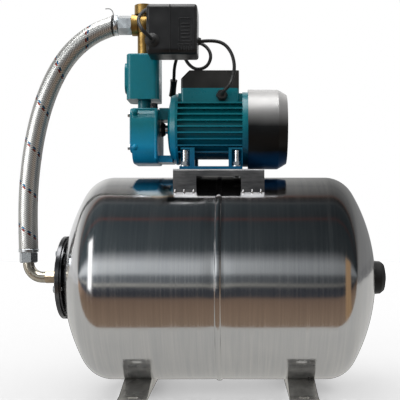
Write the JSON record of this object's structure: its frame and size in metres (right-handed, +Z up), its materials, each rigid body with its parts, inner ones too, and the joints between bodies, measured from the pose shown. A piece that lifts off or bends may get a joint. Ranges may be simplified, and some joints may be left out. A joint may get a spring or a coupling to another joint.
{
  "type": "shallow well jet pump on a horizontal pressure tank",
  "caption": "Shallow well pump and motor on a horizontal steel pressure tank, with a pressure switch, brass manifold and braided hose.",
  "frame": {"origin": "on the floor, midway between the four foot slots, under the tank's middle weld", "axes": "+X along the tank to its air valve, +Y to the back, +Z up"},
  "size_m": [0.6622, 0.4982, 0.6855],
  "materials": {
    "polished_steel": "mirror polished stainless steel",
    "zinc_steel": "bright zinc plated",
    "dark_flange": "dark painted pressed steel",
    "stainless_plate": "folded stainless plate, rolled finish",
    "teal_paint": "glossy teal enamel on cast metal",
    "cover_paint": "graphite metallic paint",
    "black_plastic": "black moulded plastic",
    "black_rubber": "black rubber",
    "brass": "cast and turned brass",
    "nickel_brass": "nickel plated brass",
    "steel_braid": "woven stainless wire with coloured tracer threads",
    "bright_steel": "ground steel",
    "copper": "enamelled copper wire",
    "laminations": "stacked electrical steel",
    "cream_plastic": "cream moulded plastic"
  },
  "bodies": {
    "frame": {"tank_shell_left": "polished_steel", "tank_shell_right": "polished_steel", "tank_seam_band": "polished_steel", "tank_neck_ring": "zinc_steel", "bladder": "black_rubber", "tank_flange": "dark_flange", "flange_bolts": "zinc_steel", "air_valve_stem": "nickel_brass", "air_valve_cap": "black_plastic", "foot_left": "stainless_plate", "foot_right": "stainless_plate", "pump_platform": "stainless_plate", "stator_housing": "teal_paint", "mount_bolts": "zinc_steel", "stator_core": "laminations", "stator_windings": "copper", "front_bearing": "bright_steel", "rear_bearing": "bright_steel", "rear_end_shield": "teal_paint", "fan_cover": "cover_paint", "terminal_base": "teal_paint", "terminal_lid": "black_plastic", "terminal_block": "cream_plastic", "capacitor": "cream_plastic", "cable_gland": "black_plastic", "lantern_bracket": "teal_paint", "pump_casing": "teal_paint", "priming_plug": "teal_paint", "casing_cover": "teal_paint", "cover_bolts": "teal_paint", "seal_seat": "cream_plastic", "five_way_fitting": "brass", "gauge_port_plug": "brass", "switch_elbow": "brass", "switch_nut": "nickel_brass", "switch_base": "black_plastic", "switch_cover": "black_plastic", "switch_grommet": "black_rubber", "lead_grommet": "black_rubber", "contact_block": "cream_plastic", "hose": "steel_braid", "hose_ferrules": "bright_steel", "hose_nuts": "nickel_brass", "tank_elbow": "nickel_brass", "elbow_nut": "nickel_brass", "motor_lead": "black_rubber", "mains_lead": "black_rubber", "mains_coil": "black_rubber", "mains_plug": "black_rubber"},
    "rotor": {"rotor_core": "laminations", "motor_shaft": "bright_steel", "fan": "black_plastic", "impeller": "brass", "impeller_nut": "brass", "seal_face": "black_rubber", "shaft_slinger": "black_rubber"},
    "valve_pin": {"air_valve_pin": "brass"},
    "plunger": {"switch_plunger": "bright_steel"},
    "lever": {"contact_lever": "brass"}
  },
  "joints": [
    {"name": "shaft_spin", "type": "hinge", "parent": "frame", "child": "rotor", "pos_m": [0, 0, 0.462], "axis": [1, 0, 0], "continuous": true},
    {"name": "valve_pin_press", "type": "slide", "parent": "frame", "child": "valve_pin", "axis": [-1, 0, 0], "range_m": [0, 0.0015], "stiffness_N_per_m": 400, "springref_m": -0.001},
    {"name": "plunger_travel", "type": "slide", "parent": "frame", "child": "plunger", "axis": [0, -1, 0], "range_m": [0, 0.0015], "stiffness_N_per_m": 600, "springref_m": -0.001},
    {"name": "lever_tip", "type": "hinge", "parent": "frame", "child": "lever", "pos_m": [-0.088, -0.06, 0.651], "axis": [0, 0, 1], "range_deg": [0, 6.5]}
  ],
  "couplings": [
    {"joint": "lever_tip", "follows": "plunger_travel", "rad_per_m": 71.429}
  ]
}
